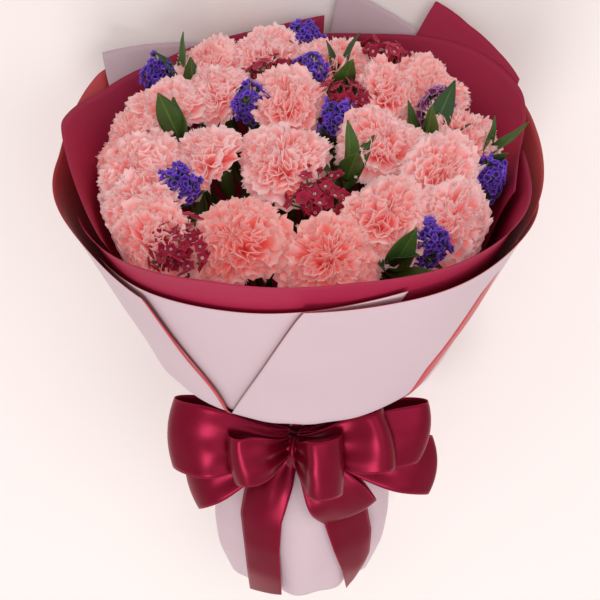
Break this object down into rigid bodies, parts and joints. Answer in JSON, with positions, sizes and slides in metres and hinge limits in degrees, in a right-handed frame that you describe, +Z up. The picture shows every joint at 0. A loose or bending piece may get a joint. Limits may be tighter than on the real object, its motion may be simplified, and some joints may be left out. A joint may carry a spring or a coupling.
{
  "type": "bunch of carnations",
  "caption": "Hand-tied bunch of pink carnations with filler flowers in a paper collar and foot, tied with a satin bow, lying on its back.",
  "frame": {"origin": "centre of the footprint, on the surface that the bunch lies on", "axes": "+X across the bunch, +Y along it from the foot to the flowers, +Z up out of its front"},
  "size_m": [0.3892, 0.5352, 0.362],
  "materials": {
    "carnation": "matte",
    "statice": "matte",
    "sweet_william": "matte",
    "stock": "matte",
    "leaf": "satin",
    "pink_paper": "matte",
    "crimson_paper": "matte",
    "satin": "satin",
    "twine": "matte"
  },
  "bodies": {
    "root": {"bow_knot": "satin", "bow_loops_left": "satin", "bow_loops_right": "satin", "carnation_01": "carnation", "carnation_02": "carnation", "carnation_03": "carnation", "carnation_04": "carnation", "carnation_05": "carnation", "carnation_06": "carnation", "carnation_07": "carnation", "carnation_08": "carnation", "carnation_09": "carnation", "carnation_10": "carnation", "carnation_11": "carnation", "carnation_12": "carnation", "carnation_13": "carnation", "carnation_14": "carnation", "carnation_15": "carnation", "carnation_16": "carnation", "carnation_17": "carnation", "carnation_18": "carnation", "carnation_19": "carnation", "carnation_20": "carnation", "carnation_21": "carnation", "collar_back": "pink_paper", "collar_corner": "pink_paper", "collar_front": "pink_paper", "collar_left": "pink_paper", "collar_right": "pink_paper", "collar_side": "pink_paper", "foot_wrap": "pink_paper", "leaf_01": "leaf", "leaf_02": "leaf", "leaf_03": "leaf", "leaf_04": "leaf", "leaf_05": "leaf", "leaf_06": "leaf", "leaf_07": "leaf", "lining_back": "crimson_paper", "lining_front": "crimson_paper", "lining_left": "crimson_paper", "lining_right": "crimson_paper", "ribbon_band": "satin", "ribbon_tail_left": "satin", "ribbon_tail_right": "satin", "statice_01": "statice", "statice_02": "statice", "statice_03": "statice", "statice_04": "statice", "statice_05": "statice", "statice_06": "statice", "statice_07": "statice", "statice_08": "statice", "stem_tie": "twine", "stock_01": "stock", "sweet_william_01": "sweet_william", "sweet_william_02": "sweet_william", "sweet_william_03": "sweet_william", "sweet_william_04": "sweet_william", "sweet_william_05": "sweet_william"}
  },
  "joints": []
}
